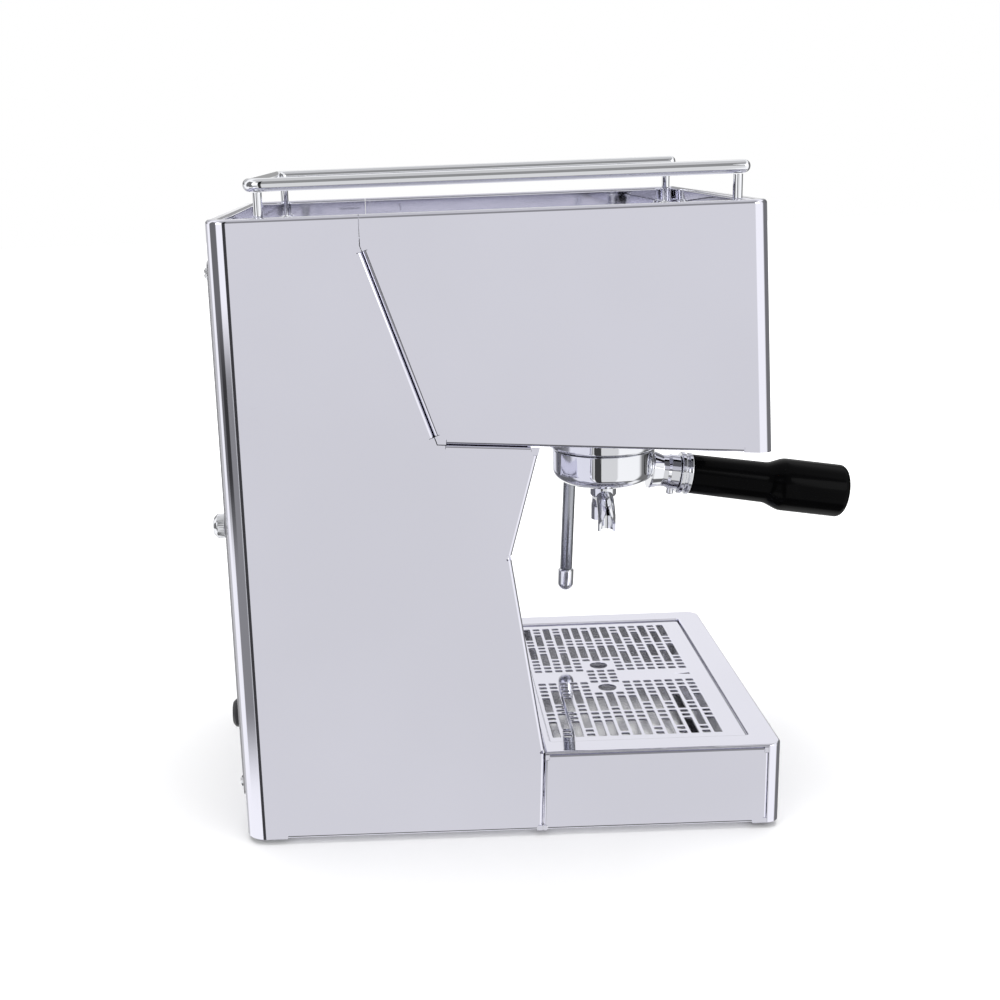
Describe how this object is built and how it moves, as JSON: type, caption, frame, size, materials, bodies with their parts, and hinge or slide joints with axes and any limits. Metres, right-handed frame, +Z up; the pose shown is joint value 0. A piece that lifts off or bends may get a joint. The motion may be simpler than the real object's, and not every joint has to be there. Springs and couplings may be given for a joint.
{
  "type": "espresso machine",
  "caption": "Table-top espresso machine in folded polished steel with a lever-locked filter holder, drip tray, steam wand, cup rail and lift-out tank.",
  "frame": {"origin": "on the table under the middle of the whole machine, its handle included", "axes": "+Z up, -Y towards the user at the front with the handle, +X to the user's right where the steam wand is"},
  "size_m": [0.26, 0.4424, 0.4318],
  "materials": {
    "polished_steel": "polished stainless sheet",
    "satin_steel": "satin stainless sheet",
    "chrome": "bright chrome plate",
    "galvanised_steel": "dull zinc coat",
    "brass": "turned brass",
    "cast_metal": "dark cast metal",
    "black_plastic": "glossy black plastic",
    "grey_plastic": "matte dark grey plastic",
    "tank_plastic": "milky translucent plastic",
    "black_rubber": "matte black rubber",
    "dial_white": "matte white paint",
    "clear_glass": "clear glass",
    "lamp_orange": "translucent orange plastic",
    "needle_red": "red paint"
  },
  "bodies": {
    "housing": {"column_shell": "polished_steel", "head_shell": "polished_steel", "head_underside": "polished_steel", "splash_panel": "polished_steel", "base_shell": "polished_steel", "column_floor": "galvanised_steel", "foot_front_left": "black_rubber", "foot_rear_left": "black_rubber", "foot_front_right": "black_rubber", "foot_rear_right": "black_rubber", "cup_tray": "polished_steel", "tank_shelf": "galvanised_steel", "cup_rail": "chrome", "rail_post_front_left": "chrome", "rail_post_rear_left": "chrome", "rail_post_front_right": "chrome", "rail_post_rear_right": "chrome", "rear_panel": "satin_steel", "rear_screw_low_left": "chrome", "rear_screw_high_left": "chrome", "rear_thumb_nut_left": "chrome", "rear_screw_low_right": "chrome", "rear_screw_high_right": "chrome", "rear_thumb_nut_right": "chrome", "cord_gland": "grey_plastic", "group_bell": "chrome", "group_gasket": "black_rubber", "shower_screen": "polished_steel", "screen_screw": "chrome", "wand_nut": "chrome", "gauge_case": "chrome", "gauge_dial": "dial_white", "gauge_glass": "clear_glass", "power_switch_frame": "grey_plastic", "brew_switch_frame": "grey_plastic", "steam_switch_frame": "grey_plastic", "lamp_lens": "lamp_orange", "steam_valve": "brass", "boiler": "brass", "pump": "cast_metal", "suction_hose": "black_rubber"},
    "filter_holder": {"filter_holder": "chrome", "filter_basket": "polished_steel", "double_spout": "chrome", "handle_collar": "chrome", "handle_grip": "black_plastic"},
    "drip_tray": {"drip_tray_frame": "polished_steel", "drip_pan": "satin_steel"},
    "tray_grille": {"drip_grille": "polished_steel"},
    "tank": {"water_tank": "tank_plastic"},
    "tank_cover": {"tank_lid": "polished_steel"},
    "valve_knob": {"steam_knob": "black_plastic"},
    "wand_swivel": {"wand_ball": "chrome"},
    "wand": {"steam_wand": "polished_steel", "steam_nozzle": "chrome"},
    "power_rocker": {"power_switch_rocker": "black_plastic"},
    "brew_rocker": {"brew_switch_rocker": "black_plastic"},
    "steam_rocker": {"steam_switch_rocker": "black_plastic"},
    "needle": {"gauge_needle": "needle_red"}
  },
  "joints": [
    {"name": "filter_holder_lock", "type": "hinge", "parent": "housing", "child": "filter_holder", "pos_m": [0, -0.04651, 0.24], "axis": [0, 0, -1], "range_deg": [0, 50]},
    {"name": "drip_tray_slide", "type": "slide", "parent": "housing", "child": "drip_tray", "axis": [0, -1, 0], "range_m": [0, 0.15]},
    {"name": "grille_lift", "type": "slide", "parent": "drip_tray", "child": "tray_grille", "axis": [0, 0, 1], "range_m": [0, 0.03]},
    {"name": "tank_lift", "type": "slide", "parent": "housing", "child": "tank", "axis": [0, 0, 1], "range_m": [0, 0.325]},
    {"name": "tank_lid_lift", "type": "slide", "parent": "tank", "child": "tank_cover", "axis": [0, 0, 1], "range_m": [0, 0.05]},
    {"name": "steam_knob_turn", "type": "hinge", "parent": "housing", "child": "valve_knob", "pos_m": [0.084, -0.12881, 0.32418], "axis": [0, -0.9987, 0.0506], "range_deg": [0, 330]},
    {"name": "wand_swing", "type": "hinge", "parent": "housing", "child": "wand_swivel", "pos_m": [0.095, -0.03721, 0.25049], "axis": [0, 1, 0], "range_deg": [-45, 12]},
    {"name": "wand_tilt", "type": "hinge", "parent": "wand_swivel", "child": "wand", "pos_m": [0.095, -0.03721, 0.25049], "axis": [1, 0, 0], "range_deg": [-35, 10]},
    {"name": "power_rocker_tilt", "type": "hinge", "parent": "housing", "child": "power_rocker", "pos_m": [-0.098, -0.12442, 0.31194], "axis": [1, 0, 0], "range_deg": [-14, 0]},
    {"name": "brew_rocker_tilt", "type": "hinge", "parent": "housing", "child": "brew_rocker", "pos_m": [-0.072, -0.12442, 0.31194], "axis": [1, 0, 0], "range_deg": [-14, 0]},
    {"name": "steam_rocker_tilt", "type": "hinge", "parent": "housing", "child": "steam_rocker", "pos_m": [-0.046, -0.12442, 0.31194], "axis": [1, 0, 0], "range_deg": [-14, 0]},
    {"name": "gauge_needle_sweep", "type": "hinge", "parent": "housing", "child": "needle", "pos_m": [0, -0.1277, 0.34615], "axis": [0, -0.9987, 0.0506], "range_deg": [-270, 0]}
  ]
}
